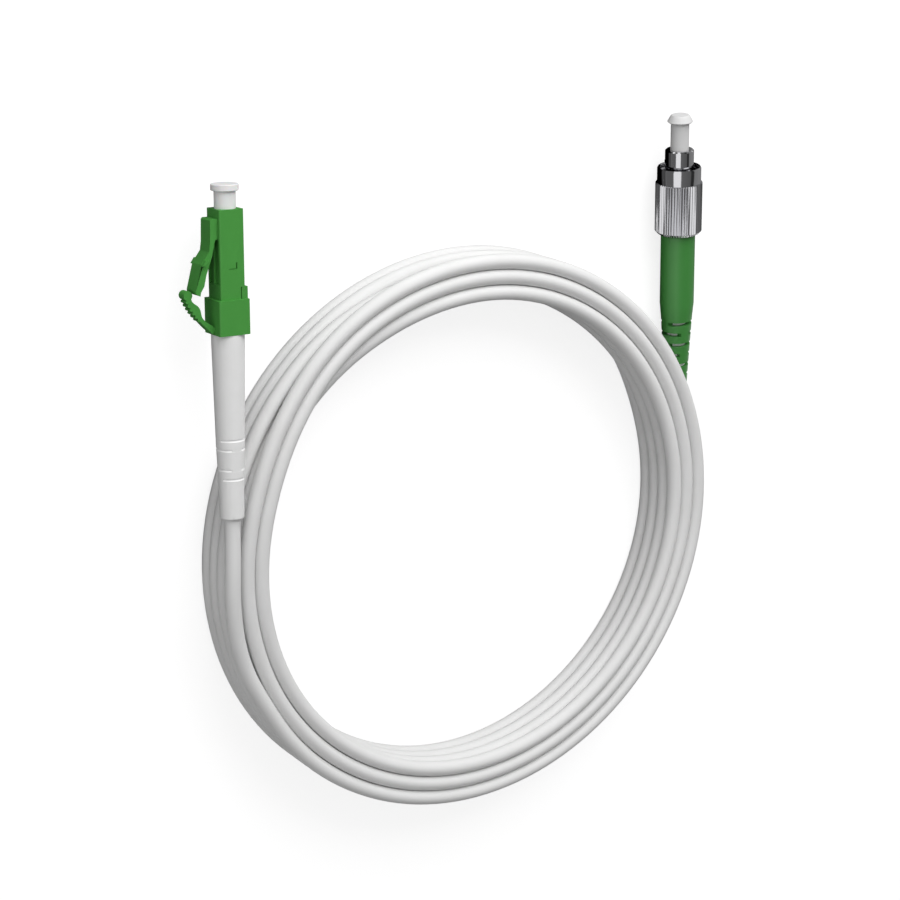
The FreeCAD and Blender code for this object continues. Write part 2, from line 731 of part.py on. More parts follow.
def roundedPath(points):
    """Straight runs joined by tangent arcs; prints each arc's radius."""
    edges = []
    start = points[0]
    radii = []
    for before, corner, after in zip(points, points[1:], points[2:]):
        back = before - corner
        ahead = after - corner
        turn = math.pi - back.getAngle(ahead)
        reach = 0.45 * min(back.Length, ahead.Length)
        radius = reach / math.tan(turn / 2)
        back.normalize()
        ahead.normalize()
        arcStart = corner + back * reach
        arcEnd = corner + ahead * reach
        middle = (back + ahead).normalize()
        arcMiddle = corner + middle * (radius / math.cos(turn / 2) - radius)
        edges.append(Part.LineSegment(start, arcStart).toShape())
        edges.append(Part.Arc(arcStart, arcMiddle, arcEnd).toShape())
        start = arcEnd
        radii.append(radius)
    edges.append(Part.LineSegment(start, points[-1]).toShape())
    print("arc radii", [round(r, 1) for r in radii])
    return Part.Wire(edges)


def lead(points, radius):
    path = roundedPath(points)
    section = Part.Circle(points[0], points[1] - points[0], radius).toShape()
    solid = path.makePipeShell([Part.Wire([section])], True, True)
    print("lead", round(path.Length, 2), "mm, volume ratio",
          round(solid.Volume / (math.pi * radius ** 2 * path.Length), 5))
    return solid


def ringSegment(inner, outer, low, high, start, end):
    """Part of a ring of rectangular section between two angles."""
    outline = Part.makePolygon([Vec(inner, 0, low), Vec(outer, 0, low), Vec(outer, 0, high),
                                Vec(inner, 0, high), Vec(inner, 0, low)])
    face = Part.Face(outline)
    face.rotate(Vec(0, 0, 0), Vec(0, 0, 1), start)
    return face.revolve(Vec(0, 0, 0), Vec(0, 0, 1), end - start)


def bootBed(profile, place):
    """Room that a boot's tail takes from the ring's outer edge."""
    wide = [(radius + bootBedClearance, station) for radius, station in profile]
    bed = turned([(0, wide[0][1])] + wide + [(0, wide[-1][1])])
    bed.Placement = place
    return bed


def cableCoil():
    ring = Part.makeCylinder(coilOuterRadius, coilHeight)
    ring = ring.cut(Part.makeCylinder(coilInnerRadius, coilHeight))
    rims = [e for e in ring.Edges if isinstance(e.Curve, Part.Circle)]
    ring = ring.makeFillet(coilCornerRadius, rims)
    lane = cableDiameter + laneClearance
    inner = coilOuterRadius - lane
    outside = coilOuterRadius + lane
    upper = ringSegment(inner, outside, coilHeight - lane, coilHeight + lane, upperLaneStart, upperLaneEnd)
    lower = ringSegment(inner, outside, -lane, lane, lowerLaneStart, lowerLaneEnd)
    lcBed = bootBed([(lcBootEndRadius, -bootBedClearance), (lcBootWaistRadius, lcBootWaistStation),
                     (lcBootFrontRadius, lcBootLength)], lcPlace)
    fcBed = bootBed([(fcBootEndRadius, -bootBedClearance), (fcBootShoulderRadius, fcBootShoulderStation),
                     (fcBootFrontRadius, fcBootTaperStation)], fcPlace)
    fcTrack = lead(fcRoute, cableRadius + laneClearance)
    return ring.cut([upper, lower, lcBed, fcBed, fcTrack]).Solids[0]


def cableLcLead():
    return lead(lcRoute, cableRadius)


def cableFcLead():
    return lead(fcRoute, cableRadius)


def export(name, shape):
    if len(shape.Solids) == 1:
        shape = shape.Solids[0]
    print(name, shape.ShapeType, len(shape.Solids), shape.isValid(), round(shape.Volume, 3))
    shape.exportStep("parts/" + name + ".step")


squarePlug = {
    "lc_housing": lcHousing,
    "lc_latch_arm": lcLatchArm,
    "lc_rear_housing": lcRearHousing,
    "lc_release_lever": lcReleaseLever,
    "lc_ferrule": lcFerrule,
    "lc_ferrule_flange": lcFerruleFlange,
    "lc_spring": lcSpring,
    "lc_stem": lcStem,
    "lc_crimp_sleeve": lcCrimpSleeve,
    "lc_boot": lcBoot,
    "lc_dust_cap": lcDustCap,
    "lc_fibre": lcFibre,
    "lc_cable_end": lcCableEnd,
}

roundPlug = {
    "fc_coupling_nut": fcNut,
    "fc_barrel": fcBarrel,
    "fc_retaining_ring": fcRetainingRing,
    "fc_ferrule": fcFerrule,
    "fc_ferrule_flange": fcFerruleFlange,
    "fc_spring": fcSpring,
    "fc_stem": fcStem,
    "fc_crimp_sleeve": fcCrimpSleeve,
    "fc_boot": fcBoot,
    "fc_dust_cap": fcDustCap,
    "fc_fibre": fcFibre,
    "fc_cable_end": fcCableEnd,
}

cable = {
    "cable_coil": cableCoil,
    "cable_lc_lead": cableLcLead,
    "cable_fc_lead": cableFcLead,
}

for pieces, place in ((squarePlug, lcPlace), (roundPlug, fcPlace)):
    for name, build in pieces.items():
        shape = build()
        shape.Placement = place.multiply(shape.Placement)
        export(name, shape)

for name, build in cable.items():
    export(name, build())
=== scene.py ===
import json
import math
import bpy
import bmesh
from mathutils import Matrix, Vector

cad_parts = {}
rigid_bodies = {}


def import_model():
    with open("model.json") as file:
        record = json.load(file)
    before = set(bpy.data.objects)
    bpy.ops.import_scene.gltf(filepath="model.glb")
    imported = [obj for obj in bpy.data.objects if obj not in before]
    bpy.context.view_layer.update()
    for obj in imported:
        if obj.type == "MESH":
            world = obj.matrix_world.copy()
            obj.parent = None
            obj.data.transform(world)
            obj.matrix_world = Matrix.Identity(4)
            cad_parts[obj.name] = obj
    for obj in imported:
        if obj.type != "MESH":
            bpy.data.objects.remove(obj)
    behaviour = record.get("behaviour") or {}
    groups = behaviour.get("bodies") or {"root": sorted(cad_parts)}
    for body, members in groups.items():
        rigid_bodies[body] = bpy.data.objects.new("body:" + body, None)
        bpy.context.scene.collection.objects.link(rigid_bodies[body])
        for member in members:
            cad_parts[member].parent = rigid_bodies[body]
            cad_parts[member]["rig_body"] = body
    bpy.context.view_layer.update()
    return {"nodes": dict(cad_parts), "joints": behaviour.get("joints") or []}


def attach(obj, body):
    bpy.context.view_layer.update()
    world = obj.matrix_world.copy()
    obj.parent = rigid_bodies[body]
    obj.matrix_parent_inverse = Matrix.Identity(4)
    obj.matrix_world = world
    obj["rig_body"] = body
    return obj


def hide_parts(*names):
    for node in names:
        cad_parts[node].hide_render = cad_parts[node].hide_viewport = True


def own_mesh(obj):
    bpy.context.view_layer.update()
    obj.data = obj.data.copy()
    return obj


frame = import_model()
nodes = frame["nodes"]
mm = 0.001
print("frame loaded:", len(nodes), "nodes")

# at the photograph's viewing angle
camera = {
    "place": (-0.227123, 0.140407, 0.349994),      # metres
    "right": (0.83932, 0.00268, 0.54363),          # the picture's right and up, as directions
    "up": (0.15548, 0.95704, -0.24476),
    "lens": 93.01,                                 # mm, as is the sensor's width
    "sensor": 36.0,
    "near": 0.01,                                  # what it sees begins and ends here, metres
    "far": 10.0,
}
cam = bpy.data.objects.new("camera", bpy.data.cameras.new("camera"))
cam.data.lens = camera["lens"]
cam.data.sensor_width = camera["sensor"]
cam.data.clip_start = camera["near"]
cam.data.clip_end = camera["far"]
sideways = Vector(camera["right"]).normalized()
upwards = Vector(camera["up"])
upwards = (upwards - sideways * upwards.dot(sideways)).normalized()
backwards = sideways.cross(upwards)
turn = Matrix((sideways, upwards, backwards)).transposed()
cam.matrix_world = Matrix.Translation(Vector(camera["place"])) @ turn.to_4x4()
bpy.context.scene.collection.objects.link(cam)
bpy.context.scene.camera = cam
bpy.context.scene.view_settings.view_transform = "Standard"


def linear(code):
    channels = [int(code[i:i + 2], 16) / 255 for i in (1, 3, 5)]
    return tuple(c / 12.92 if c <= 0.04045 else ((c + 0.055) / 1.055) ** 2.4 for c in channels) + (1.0,)


def node(tree, kind, links=None, **settings):
    # one node: settings go on the node or its sockets, links are {input: (node, output)}
    made = tree.nodes.new("ShaderNode" + kind)
    for name, value in settings.items():
        if hasattr(made, name):
            setattr(made, name, value)
        else:
            made.inputs[name.replace("_", " ")].default_value = value
    for socket, (source, output) in (links or {}).items():
        tree.links.new(source.outputs[output], made.inputs[socket])
    return made


def setStops(ramp, stops):
    # grey stops of (position, level)
    while len(ramp.color_ramp.elements) < len(stops):
        ramp.color_ramp.elements.new(0.5)
    for stop, (position, grey) in zip(ramp.color_ramp.elements, stops):
        stop.position = position
        stop.color = (grey, grey, grey, 1.0)


lamp = {
    "direction": (0.15, 0.85, 0.50),      # over the far side, a little to the right
    "distance": 0.6,                      # metres, as is its size
    "size": 0.55,
    "level": 0.92,                        # a facing white surface renders at this value
}
light = bpy.data.lights.new("softbox", "AREA")
light.size = lamp["size"]
light.energy = lamp["level"] * math.pi ** 2 * lamp["distance"] ** 2
box = bpy.data.objects.new("softbox", light)
aim = Vector(lamp["direction"]).normalized()
box.location = aim * lamp["distance"]
box.rotation_euler = aim.to_track_quat("Z", "Y").to_euler()
box.visible_glossy = False
bpy.context.scene.collection.objects.link(box)

sky = {
    "far": 0.50,      # level of the sky over the far side, where the plugs point
    "near": 0.03,     # and behind the near side
    "left": 0.42,     # what a reflector on the left adds, full at -X and nothing past the next value
    "leftEdge": 0.3,
    # what polished metal sees round the plugs: (angle, level), from 0 at +X over the top to 1 at -X
    "bands": ((0.0, 0.27), (0.23, 0.22), (0.26, 0.03), (0.34, 0.03), (0.37, 0.11), (0.60, 0.14),
              (0.645, 0.16), (0.66, 1.0), (0.86, 1.0), (0.875, 0.13), (1.0, 0.14)),
}
world = bpy.data.worlds.new("studio")
world.use_nodes = True
bpy.context.scene.world = world
tree = world.node_tree
tree.nodes.clear()
where = node(tree, "TexCoord")
axes = node(tree, "SeparateXYZ", {"Vector": (where, "Generated")})
slope = node(tree, "MapRange", {"Value": (axes, "Y")}, From_Min=-1.0, From_Max=1.0,
             To_Min=sky["near"], To_Max=sky["far"])
leftward = node(tree, "MapRange", {"Value": (axes, "X")}, From_Min=-1.0, From_Max=sky["leftEdge"],
                To_Min=sky["left"], To_Max=0.0)
around = node(tree, "Math", {0: (slope, "Result"), 1: (leftward, "Result")}, operation="ADD")
angle = node(tree, "Math", {0: (axes, "Z"), 1: (axes, "X")}, operation="ARCTAN2")
share = node(tree, "Math", {0: (angle, "Value")}, operation="DIVIDE")
share.inputs[1].default_value = math.pi
bands = node(tree, "ValToRGB", {"Fac": (share, "Value")})
setStops(bands, sky["bands"])
rays = node(tree, "LightPath")
soft = node(tree, "Background", {"Color": (around, "Value")})
shiny = node(tree, "Background", {"Color": (bands, "Color")})
pick = node(tree, "MixShader", {0: (rays, "Is Glossy Ray"), 1: (soft, "Background"),
                                2: (shiny, "Background")})
paper = node(tree, "Background")
paper.inputs["Color"].default_value = (1, 1, 1, 1)
seen = node(tree, "MixShader", {0: (rays, "Is Camera Ray"), 1: (pick, "Shader"),
                                2: (paper, "Background")})
node(tree, "OutputWorld", {"Surface": (seen, "Shader")})

table = {
    "half": 0.14,     # half its side, metres
    "white": 0.80,    # its own level where it is seen, which stays in the shadow
    "shade": 0.36,    # what the lamp adds there
    "bounce": 0.15,   # how much light it throws back on the cable and plugs
}
bm = bmesh.new()
bmesh.ops.create_grid(bm, x_segments=1, y_segments=1, size=table["half"])
mesh = bpy.data.meshes.new("table")
bm.to_mesh(mesh)
bm.free()
floor = bpy.data.objects.new("table", mesh)
bpy.context.scene.collection.objects.link(floor)
paint = bpy.data.materials.new("white table")
paint.use_nodes = True
tree = paint.node_tree
tree.nodes.clear()
rays = node(tree, "LightPath")
direct = node(tree, "Math", {0: (rays, "Is Camera Ray"), 1: (rays, "Is Glossy Ray")}, operation="MAXIMUM")
either = node(tree, "Math", {0: (direct, "Value"), 1: (rays, "Is Transmission Ray")}, operation="MAXIMUM")
dim = node(tree, "BsdfDiffuse", Color=(table["bounce"],) * 3 + (1.0,))
matt = node(tree, "BsdfDiffuse", Color=(table["shade"],) * 3 + (1.0,))
glow = node(tree, "Emission", Strength=table["white"])
lit = node(tree, "AddShader", {0: (matt, "BSDF"), 1: (glow, "Emission")})
seen = node(tree, "MixShader", {0: (either, "Value"), 1: (dim, "BSDF"), 2: (lit, "Shader")})
node(tree, "OutputMaterial", {"Surface": (seen, "Shader")})
floor.data.materials.append(paint)

# cards just over the table, seen in reflections alone: what the polished nut and the green sides mirror
cards = {
    # (place, level) across the card and where it lies along the plugs, in metres
    "nut": {"along": (0.028, 0.090), "levels": (
        (0.004, 0.15), (0.028, 0.15), (0.031, 0.07), (0.035, 0.07), (0.038, 0.09), (0.040, 0.0),
        (0.0535, 0.0), (0.0555, 0.24), (0.140, 0.24))},
    "latch": {"along": (0.0, 0.110), "levels": ((-0.130, 0.06), (-0.030, 0.06))},
    # a low one that stands between the plugs, its levels from its foot up
    "standing": {"along": (0.028, 0.090), "x": 0.020, "levels": ((0.0, 0.13), (0.0165, 0.13))},
}
cardHeight = 0.0002
for key, card in cards.items():
    left, right = card["levels"][0][0], card["levels"][-1][0]
    near, far = card["along"]
    bm = bmesh.new()
    bmesh.ops.create_grid(bm, x_segments=1, y_segments=1, size=0.5)
    bmesh.ops.scale(bm, vec=(right - left, far - near, 1), verts=bm.verts)
    bmesh.ops.translate(bm, vec=((left + right) / 2, (near + far) / 2, cardHeight), verts=bm.verts)
    if "x" in card:
        bmesh.ops.rotate(bm, cent=(0, 0, 0), matrix=Matrix.Rotation(-math.pi / 2, 3, "Y"), verts=bm.verts)
        bmesh.ops.translate(bm, vec=(card["x"], 0, cardHeight), verts=bm.verts)
    mesh = bpy.data.meshes.new(key + "_card")
    bm.to_mesh(mesh)
    bm.free()
    flag = bpy.data.objects.new(key + "_card", mesh)
    for ray in ("camera", "diffuse", "shadow", "transmission"):
        setattr(flag, "visible_" + ray, False)
    bpy.context.scene.collection.objects.link(flag)
    paint = bpy.data.materials.new(key + " card")
    paint.use_nodes = True
    tree = paint.node_tree
    tree.nodes.clear()
    where = node(tree, "TexCoord")
    axes = node(tree, "SeparateXYZ", {"Vector": (where, "Object")})
    across = "Z" if "x" in card else "X"
    share = node(tree, "MapRange", {"Value": (axes, across)}, From_Min=left, From_Max=right)
    shades = node(tree, "ValToRGB", {"Fac": (share, "Result")})
    setStops(shades, [((at - left) / (right - left), grey) for at, grey in card["levels"]])
    glow = node(tree, "Emission", {"Color": (shades, "Color")})
    node(tree, "OutputMaterial", {"Surface": (glow, "Emission")})
    flag.data.materials.append(paint)
print("camera, lamps and table placed")

# the coil's turns are named by column, outer, middle or inner, and by layer from the top; lengths are mm
cable = {
    "diameter": 2.8 * mm,
    "radii": {"O": 51.6, "M": 48.75, "I": 45.9},
    "heights": {1: 9.95, 2: 7.1, 3: 4.25, 4: 1.4},
    "order": ("O1", "M1", "I1", "I2", "M2", "O2", "O3", "M3", "I3", "I4", "M4", "O4"),
    "pointsPerTurn": 24,
    "start": 205.0,           # the square plug's lead joins the outer top turn here
    "end": -24.0,             # and the round plug's lead leaves the outer bottom turn here
    # where each step from one turn to the next begins, degrees, and how long it takes
    "steps": {"O1M1": 118, "M1I1": 118, "I1I2": 101, "I2M2": 84, "M2O2": 84, "O2O3": 67,
              "O3M3": 50, "M3I3": 50, "I3I4": 33, "I4M4": 16, "M4O4": 16},
    "stepLength": 47.0,
    "lcLead": ((-51.7, 12.9, 10.75), (-51.902, 5.912, 11.111), (-52.2, -1.2, 11.1), (-51.5, -8.6, 10.5),
               (-49.724, -15.463, 9.95), (-46.765, -21.807, 9.95)),
    "fcLead": ((47.139, -20.988, 1.41), (49.986, -14.593, 1.41), (51.65, -3.8, 1.41), (52.1, 3.8, 1.45),
               (51.998, 11.034, 1.762), (51.5, 18.0, 2.25)),
    "length": 3.55,           # metres between the boots
}


def easeOver(t):
    t = min(1.0, max(0.0, t))
    return t * t * (3 - 2 * t)


def laneAt(turnAngle):
    # radius and height on the winding at an angle counted on through all turns
    order = cable["order"]
    name = order[0]
    radius = cable["radii"][name[0]]
    height = cable["heights"][int(name[1])]
    for i, (a, b) in enumerate(zip(order, order[1:])):
        begin = cable["steps"][a + b] + 360.0 * (i + 1)
        s = easeOver((turnAngle - begin) / cable["stepLength"])
        radius += s * (cable["radii"][b[0]] - cable["radii"][a[0]])
        height += s * (cable["heights"][int(b[1])] - cable["heights"][int(a[1])])
    return radius, height


def windingPoints():
    spacing = 360.0 / cable["pointsPerTurn"]
    bulge = 1.0 / math.cos(math.pi / cable["pointsPerTurn"])   # the spline cuts inside its points
    last = cable["end"] + 360.0 * len(cable["order"])
    count = int((last - cable["start"]) // spacing)
    points = []
    for i in range(1, count + 1):
        at = cable["start"] + i * (last - cable["start"]) / (count + 1)
        radius, height = laneAt(at)
        a = math.radians(at)
        points.append((radius * bulge * math.cos(a), radius * bulge * math.sin(a), height))
    return points


route = list(cable["lcLead"]) + windingPoints() + list(cable["fcLead"])
curve = bpy.data.curves.new("cable", "CURVE")
curve.dimensions = "3D"
curve.resolution_u = 6
curve.bevel_depth = 1.0                      # times each point's own radius
curve.bevel_resolution = 6
curve.use_fill_caps = True
line = curve.splines.new("NURBS")
line.points.add(len(route) - 1)
for point, (x, y, z) in zip(line.points, route):
    point.co = (x * mm, y * mm, z * mm, 1.0)
    point.radius = cable["diameter"] / 2
line.order_u = 3
line.use_endpoint_u = True
cord = bpy.data.objects.new("cable", curve)
bpy.context.scene.collection.objects.link(cord)
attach(cord, "cable_and_plugs")
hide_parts("cable_coil", "cable_lc_lead", "cable_fc_lead")
print("cable wound,", len(route), "points")


def surface(name, colour, roughness, metallic=0.0, ior=1.5, **more):
    made = bpy.data.materials.new(name)
    made.use_nodes = True
    shader = made.node_tree.nodes["Principled BSDF"]
    shader.inputs["Base Color"].default_value = linear(colour)
    shader.inputs["Roughness"].default_value = roughness
    shader.inputs["Metallic"].default_value = metallic
    if not metallic:
        shader.inputs["IOR"].default_value = ior
    for socket, value in more.items():
        shader.inputs[socket.replace("_", " ")].default_value = value
    return made


patchGrains = 12           # how many grains wide a patch of slightly other colour is


def grain(made, scale, depth, spread=None, colours=None):
    # fine relief, and where asked a slight change of colour and of roughness, in the piece's own
    # millimetres; the real ones are finer still, and these are as coarse as it takes to show
    tree = made.node_tree
    shader = tree.nodes["Principled BSDF"]
    where = node(tree, "TexCoord")
    noise = node(tree, "TexNoise", {"Vector": (where, "Object")}, Scale=1 / (scale * mm), Detail=2.0)
    bump = node(tree, "Bump", {"Height": (noise, "Fac")}, Strength=1.0, Distance=depth * mm)
    tree.links.new(bump.outputs["Normal"], shader.inputs["Normal"])
    if spread:
        ramp = node(tree, "MapRange", {"Value": (noise, "Fac")}, To_Min=spread[0], To_Max=spread[1])
        tree.links.new(ramp.outputs["Result"], shader.inputs["Roughness"])
    if colours:
        patch = node(tree, "TexNoise", {"Vector": (where, "Object")},
                     Scale=1 / (scale * patchGrains * mm), Detail=3.0)
        mix = node(tree, "Mix", {"Factor": (patch, "Fac")}, data_type="RGBA")
        mix.inputs["A"].default_value = linear(colours[0])
        mix.inputs["B"].default_value = linear(colours[1])
        tree.links.new(mix.outputs["Result"], shader.inputs["Base Color"])
    return made


def makeMaterials():
    made = {}
    # halogen-free jacket, extruded: matt, with a faint dragged skin
    made["cable_jacket"] = grain(surface("extruded jacket", "#E8E8E8", 0.55, Specular_IOR_Level=0.3),
                                 0.5, 0.006, spread=(0.5, 0.65), colours=("#EAEAEA", "#E4E4E3"))
    # PBT, injection moulded: satin, with a fine spark-eroded skin
    made["green_nylon"] = grain(surface("moulded green PBT", "#4A9842", 0.5, Specular_IOR_Level=0.35),
                                0.12, 0.004, spread=(0.44, 0.55), colours=("#4C9A44", "#489540"))
    # thermoplastic elastomer, moulded: a softer, broader sheen than the housing
    made["green_rubber"] = grain(surface("green elastomer", "#428C3F", 0.42, Specular_IOR_Level=0.65),
                                 0.2, 0.004, spread=(0.38, 0.48), colours=("#448E41", "#408A3D"))
    # the same in white, more matt
    made["white_rubber"] = grain(surface("white elastomer", "#F0F0F0", 0.5),
                                 0.2, 0.004, spread=(0.45, 0.6), colours=("#F2F2F2", "#ECECEB"))
    # the boots' cores inside the slots: a whiter white than the boot, a painted highlight that makes the
    # slots read bright
    made["painted_highlight_core"] = grain(surface("white elastomer with painted highlight", "#FFFFFF", 0.5),
                              0.2, 0.003, colours=("#FFFFFF", "#FCFCFC"))
    # polyethylene cap, moulded: milky, lets a little light into it
    made["cap_plastic"] = grain(surface("milky polyethylene", "#F2F2F2", 0.42, Subsurface_Weight=0.1,
                                        Subsurface_Scale=0.001),
                                0.3, 0.003, colours=("#F4F4F4", "#EEEEEE"))
    # the round plug's cap, moulded too: matt and closed, its white darkened as painted shade
    made["shaded_cap_plastic"] = grain(surface("matt polyethylene in painted shade", "#DCDCDC", 0.5),
                                     0.3, 0.003, colours=("#DEDEDE", "#D8D8D8"))
    # nickel plated brass, turned and polished: a clear mirror with the faintest ripple
    made["nickel_brass"] = grain(surface("polished nickel plate", "#D9D9DC", 0.08, metallic=1.0),
                                 0.25, 0.0006, spread=(0.06, 0.12))
    # aluminium tube, drawn and crimped: a grey sheen
    made["crimp_metal"] = grain(surface("crimped aluminium", "#C9CACD", 0.35, metallic=1.0),
                                0.2, 0.002, spread=(0.3, 0.42))
    # stainless wire, drawn and wound: darker, with a dragged sheen
    made["spring_steel"] = grain(surface("drawn spring wire", "#B4B4B6", 0.3, metallic=1.0),
                                 0.08, 0.001, spread=(0.25, 0.38))
    # sintered zirconia, ground and polished: warm white and glassy
    made["zirconia"] = grain(surface("polished zirconia", "#F0EEE6", 0.12, ior=2.1),
                             0.2, 0.0004, spread=(0.1, 0.16))
    # nylon buffer, extruded over the glass: a satin cream
    made["buffer_plastic"] = grain(surface("buffered fibre", "#EAE6D8", 0.45),
                                   0.2, 0.003, spread=(0.4, 0.5))
    return made


finishes = makeMaterials()
for key, finish in finishes.items():
    finish["slot"] = key
for name, piece in nodes.items():
    given = piece.data.materials[0].name.split(".")[0]
    piece.data.materials[0] = finishes[given]        # a solid comes with its finish's name
curve.materials.append(finishes["cable_jacket"])
print("finishes given:", ", ".join(sorted(finishes)))

plugs = {"lc": (cable["lcLead"][0], "lc_cap_pull"), "fc": (cable["fcLead"][-1], "fc_cap_pull")}


def plugPlace(key):
    # millimetres along a plug, +Y from its boot's rear end, into the shared frame
    rear, joint = plugs[key]
    along = Vector(next(j["axis"] for j in frame["joints"] if j["name"] == joint)).normalized()
    side = along.cross(Vector((0, 0, 1))).normalized()
    turned = Matrix((side, along, side.cross(along))).transposed().to_4x4()
    return Matrix.Translation(Vector(rear) * mm) @ turned @ Matrix.Scale(mm, 4)


def spun(profile, steps, angle=math.tau, rise=0.0):
    # closed profile of (radius, station) turned round the plug's own axis, climbing where asked
    bm = bmesh.new()
    corners = [bm.verts.new((radius, station, 0)) for radius, station in profile]
    edges = [bm.edges.new(pair) for pair in zip(corners, corners[1:] + corners[:1])]
    bmesh.ops.spin(bm, geom=corners + edges, cent=(0, 0, 0), axis=(0, 1, 0), dvec=(0, rise / steps, 0),
                   angle=angle, steps=steps, use_merge=not rise)
    if rise:
        bmesh.ops.holes_fill(bm, edges=bm.edges)
    return bm


def addPiece(bm, name, body, slot, material=None, replaced=()):
    bmesh.ops.recalc_face_normals(bm, faces=bm.faces)
    for face in bm.faces:
        face.smooth = True
    mesh = bpy.data.meshes.new(name)
    bm.to_mesh(mesh)
    bm.free()
    piece = bpy.data.objects.new(name, mesh)
    bpy.context.scene.collection.objects.link(piece)
    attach(piece, body)
    if replaced:
        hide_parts(*replaced)
    mesh.materials.append(finishes[material or slot])
    return piece


def keepEdges(piece, angle):
    # smooth shading with true edges at corners sharper than the angle
    piece.data.set_sharp_from_angle(angle=math.radians(angle))


# merged copies of the solids: how wide their outside corners are softened, mm, and
# the angle in degrees above which two faces meet in a corner
mouldings = {
    "lc_housing": (0.1, 35), "lc_rear_housing": (0.12, 35), "lc_latch_arm": (0.1, 14),
    "lc_release_lever": (0.06, 35), "lc_boot": (0, 30), "lc_dust_cap": (0, 30),
    "fc_boot": (0, 30), "fc_dust_cap": (0, 30),
}
leastFace = 1.0            # mm2, a smaller face keeps its sharp edges


def moulded(name, width, cornerAngle):
    source = nodes[name]
    bm = bmesh.new()
    bm.from_mesh(source.data)
    bmesh.ops.remove_doubles(bm, verts=bm.verts, dist=0.002 * mm)
    bmesh.ops.dissolve_limit(bm, angle_limit=math.radians(1), verts=bm.verts, edges=bm.edges)
    if width:
        corners = [edge for edge in bm.edges if edge.is_manifold and edge.is_convex
                   and edge.calc_face_angle() > math.radians(cornerAngle)
                   and min(face.calc_area() for face in edge.link_faces) > leastFace * mm ** 2]
        bmesh.ops.bevel(bm, geom=corners, offset=width * mm, offset_type="OFFSET", segments=2, profile=0.5,
                        affect="EDGES", material=-1, clamp_overlap=True)
    # the round plug's cap takes the darker copy of the cap white, which paints shade on it
    piece = addPiece(bm, name + "_finished", source["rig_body"], source.data.materials[0]["slot"],
                     "shaded_cap_plastic" if name == "fc_dust_cap" else None, (name,))
    keepEdges(piece, cornerAngle)
    piece.modifiers.new("even normals", "WEIGHTED_NORMAL").keep_sharp = True


for name, (width, cornerAngle) in mouldings.items():
    moulded(name, width, cornerAngle)
print("mouldings softened:", ", ".join(mouldings))

# the coupling nut turned again round the plug's axis, its knurl as straight 90 degree grooves:
# radii, lengths and the rear's station along the plug, mm
nut = {
    "rear": 33.2, "knurlLength": 10.0, "collarLength": 3.0, "knurl": 4.5, "collar": 4.2, "thread": 3.75,
    "lip": 3.15, "lipStart": 1.4, "lipEnd": 4.0, "recess": 3.85, "rearEdge": 0.45, "knurlEdge": 0.15,
    "collarEdge": 0.3, "mouthEdge": 0.2, "teeth": 54, "depth": 0.22,
}
# round one tooth: its land, then down and up the groove
grooveDepths = (0, 0, 1 / 3, 2 / 3, 1, 2 / 3, 1 / 3)


def nutProfile():
    rear = nut["rear"]
    knurlFront = rear + nut["knurlLength"]
    front = knurlFront + nut["collarLength"]
    return [(nut["lip"], rear + nut["lipStart"]), (nut["recess"], rear + nut["lipStart"]),
            (nut["recess"], rear), (nut["knurl"] - nut["rearEdge"], rear),
            (nut["knurl"], rear + nut["rearEdge"]), (nut["knurl"], knurlFront - nut["knurlEdge"]),
            (nut["knurl"] - nut["knurlEdge"], knurlFront), (nut["collar"], knurlFront),
            (nut["collar"], front - nut["collarEdge"]), (nut["collar"] - nut["collarEdge"] / 2, front),
            (nut["thread"] + nut["mouthEdge"], front), (nut["thread"], front - nut["mouthEdge"]),
            (nut["thread"], rear + nut["lipEnd"]), (nut["lip"], rear + nut["lipEnd"])]


steps = nut["teeth"] * len(grooveDepths)
bm = spun(nutProfile(), steps)
knurlEnd = nut["rear"] + nut["knurlLength"] + nut["knurlEdge"] / 2
for corner in bm.verts:
    radius = math.hypot(corner.co.x, corner.co.z)
    step = round(math.atan2(corner.co.z, corner.co.x) * steps / math.tau) % len(grooveDepths)
    cut = nut["knurl"] - nut["depth"] * grooveDepths[step]
    if corner.co.y < knurlEnd and radius > cut:
        corner.co.x *= cut / radius
        corner.co.z *= cut / radius
bm.transform(plugPlace("fc"))
keepEdges(addPiece(bm, "knurled_nut", "coupling_nut", "nickel_brass", replaced=("fc_coupling_nut",)), 30)

# the barrel turned the same way, and its key: stations, radii and lengths, mm
barrel = {
    "back": 33.05, "body": 3.1, "chamber": 2.2, "grooveRear": 33.65, "grooveFront": 34.35, "groove": 2.7,
    "shoulderRear": 37.25, "shoulderFront": 38.45, "shoulder": 3.55, "barrel": 2.75, "face": 49.55,
    "edge": 0.25, "bore": 1.85, "boreDepth": 6.0, "wall": 1.0, "stop": 1.4,
    "keyWidth": 2.0, "keyHeight": 0.55, "keyLength": 4.0, "keySetBack": 2.6, "keyRoot": 0.4,
    "facets": 128,
}


def barrelProfile():
    b = barrel
    stopFront = b["face"] - b["boreDepth"]
    stopRear = stopFront - b["wall"]
    return [(b["chamber"], b["back"]), (b["body"], b["back"]), (b["body"], b["grooveRear"]),
            (b["groove"], b["grooveRear"]), (b["groove"], b["grooveFront"]), (b["body"], b["grooveFront"]),
            (b["body"], b["shoulderRear"]), (b["shoulder"], b["shoulderRear"]),
            (b["shoulder"], b["shoulderFront"]), (b["barrel"], b["shoulderFront"]),
            (b["barrel"], b["face"] - b["edge"]), (b["barrel"] - b["edge"], b["face"]),
            (b["bore"], b["face"]), (b["bore"], stopFront), (b["stop"], stopFront), (b["stop"], stopRear),
            (b["chamber"], stopRear)]


